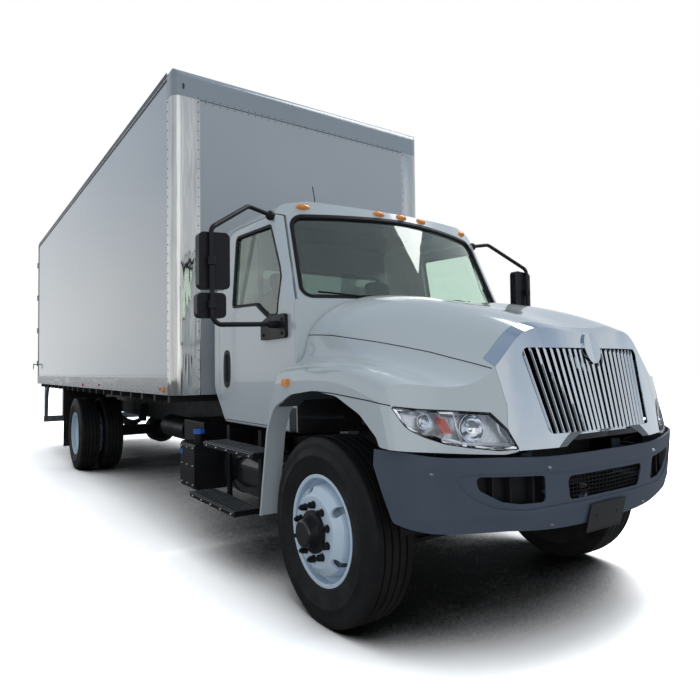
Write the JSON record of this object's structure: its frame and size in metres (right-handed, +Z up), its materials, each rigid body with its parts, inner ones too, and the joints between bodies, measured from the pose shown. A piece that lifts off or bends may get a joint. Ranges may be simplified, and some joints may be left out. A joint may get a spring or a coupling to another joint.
{
  "type": "box truck",
  "caption": "Medium-duty box truck: conventional cab with tilting hood, dry freight body with swing rear doors, steered front axle and dual rear wheels.",
  "frame": {"origin": "on the ground, under the middle of the overall length and width, with doors and hood closed", "axes": "+X forward along the truck, +Y to its left, +Z up"},
  "size_m": [10.8884, 3.096, 3.828],
  "materials": {
    "tyre_rubber": "matte black rubber",
    "wheel_white": "white enamel",
    "chassis_black": "satin black chassis paint",
    "engine_grey": "painted iron",
    "cooler": "dark finned core",
    "tank_metal": "brushed aluminium",
    "exhaust_metal": "aluminised steel",
    "plastic_black": "black plastic",
    "plastic_grey": "dark grey moulded plastic",
    "paint_white": "gloss white paint",
    "chrome": "chrome plate",
    "lamp_clear": "clear lens over reflector",
    "lamp_amber": "amber lens",
    "lamp_red": "red lens",
    "glass_dark": "tinted glass",
    "fabric_dark": "woven seat cloth",
    "liner_grey": "dark grey liner",
    "body_white": "gloss white panel",
    "body_wall": "light grey wall",
    "rail_metal": "mill aluminium",
    "post_polished": "polished corner post",
    "wood_floor": "laminated hardwood deck",
    "galvanised": "galvanised steel",
    "rubber_black": "black rubber sheet"
  },
  "bodies": {
    "chassis": {"front_axle_beam": "chassis_black", "frame_rails": "chassis_black", "leaf_springs": "chassis_black", "rear_axle_housing": "chassis_black", "engine_block": "engine_grey", "driveshaft": "chassis_black", "radiator": "cooler", "fuel_tanks": "tank_metal", "air_tanks": "chassis_black", "exhaust": "exhaust_metal", "battery_box": "plastic_black", "fluid_tank": "plastic_black", "cab_steps": "chassis_black", "front_bumper": "plastic_grey", "cab_floor": "paint_white", "cab_shell": "paint_white", "cab_glass": "glass_dark", "roof_marker_lamps": "lamp_amber", "seats": "fabric_dark", "dashboard": "plastic_black", "steering_wheel": "plastic_black", "cargo_side_left": "body_white", "cargo_side_right": "body_white", "cargo_front_wall": "body_wall", "cargo_corner_posts": "post_polished", "cargo_floor": "wood_floor", "cargo_rails": "rail_metal", "cargo_roof": "body_white", "cargo_front_cap": "body_white", "cargo_rear_frame": "galvanised", "underride_guard": "galvanised", "mud_flaps": "rubber_black", "body_lamps": "lamp_red"},
    "hood": {"hood": "paint_white", "grille_surround": "chrome", "front_lamps": "lamp_clear", "wheel_liners": "liner_grey", "hood_nose_beam": "plastic_black", "grille": "chrome"},
    "door_left": {"door_left": "paint_white", "door_window_left": "glass_dark", "mirror_left": "plastic_black"},
    "door_right": {"door_right": "paint_white", "door_window_right": "glass_dark", "mirror_right": "plastic_black"},
    "cargo_door_left": {"cargo_door_left": "body_white", "cargo_lock_left": "galvanised"},
    "cargo_door_right": {"cargo_door_right": "body_white", "cargo_lock_right": "galvanised"},
    "knuckle_left": {"steering_knuckle_left": "chassis_black"},
    "knuckle_right": {"steering_knuckle_right": "chassis_black"},
    "tie_rod": {"tie_rod": "chassis_black"},
    "wheel_front_left": {"front_left_tyre": "tyre_rubber", "front_left_wheel": "wheel_white"},
    "wheel_front_right": {"front_right_tyre": "tyre_rubber", "front_right_wheel": "wheel_white"},
    "wheels_rear_left": {"rear_left_tyres": "tyre_rubber", "rear_left_wheels": "wheel_white"},
    "wheels_rear_right": {"rear_right_tyres": "tyre_rubber", "rear_right_wheels": "wheel_white"}
  },
  "joints": [
    {"name": "hood_tilt", "type": "hinge", "parent": "chassis", "child": "hood", "pos_m": [5.3565, 0, 1.012], "axis": [0, 1, 0], "range_deg": [0, 70]},
    {"name": "door_left_hinge", "type": "hinge", "parent": "chassis", "child": "door_left", "pos_m": [4.0005, 1.009, 1.4], "axis": [0, 0, -1], "range_deg": [0, 70]},
    {"name": "door_right_hinge", "type": "hinge", "parent": "chassis", "child": "door_right", "pos_m": [4.0005, -1.009, 1.4], "axis": [0, 0, 1], "range_deg": [0, 70]},
    {"name": "cargo_door_left_hinge", "type": "hinge", "parent": "chassis", "child": "cargo_door_left", "pos_m": [-5.4015, 1.296, 2.4], "axis": [0, 0, -1], "range_deg": [0, 265]},
    {"name": "cargo_door_right_hinge", "type": "hinge", "parent": "chassis", "child": "cargo_door_right", "pos_m": [-5.4015, -1.296, 2.4], "axis": [0, 0, 1], "range_deg": [0, 265]},
    {"name": "steer_left", "type": "hinge", "parent": "chassis", "child": "knuckle_left", "pos_m": [4.4245, 0.85, 0.506], "axis": [0, 0, 1], "range_deg": [-40, 40]},
    {"name": "steer_right", "type": "hinge", "parent": "chassis", "child": "knuckle_right", "pos_m": [4.4245, -0.85, 0.506], "axis": [0, 0, 1], "range_deg": [-40, 40]},
    {"name": "tie_rod_swivel", "type": "hinge", "parent": "knuckle_left", "child": "tie_rod", "pos_m": [4.2345, 0.85, 0.377], "axis": [0, 0, 1], "range_deg": [-40, 40]},
    {"name": "spin_front_left", "type": "hinge", "parent": "knuckle_left", "child": "wheel_front_left", "pos_m": [4.4245, 0.989, 0.506], "axis": [0, 1, 0], "continuous": true},
    {"name": "spin_front_right", "type": "hinge", "parent": "knuckle_right", "child": "wheel_front_right", "pos_m": [4.4245, -0.989, 0.506], "axis": [0, 1, 0], "continuous": true},
    {"name": "spin_rear_left", "type": "hinge", "parent": "chassis", "child": "wheels_rear_left", "pos_m": [-2.0285, 0.9415, 0.506], "axis": [0, 1, 0], "continuous": true},
    {"name": "spin_rear_right", "type": "hinge", "parent": "chassis", "child": "wheels_rear_right", "pos_m": [-2.0285, -0.9415, 0.506], "axis": [0, 1, 0], "continuous": true}
  ],
  "couplings": [
    {"joint": "steer_right", "follows": "steer_left", "ratio": 1},
    {"joint": "tie_rod_swivel", "follows": "steer_left", "ratio": -1}
  ]
}
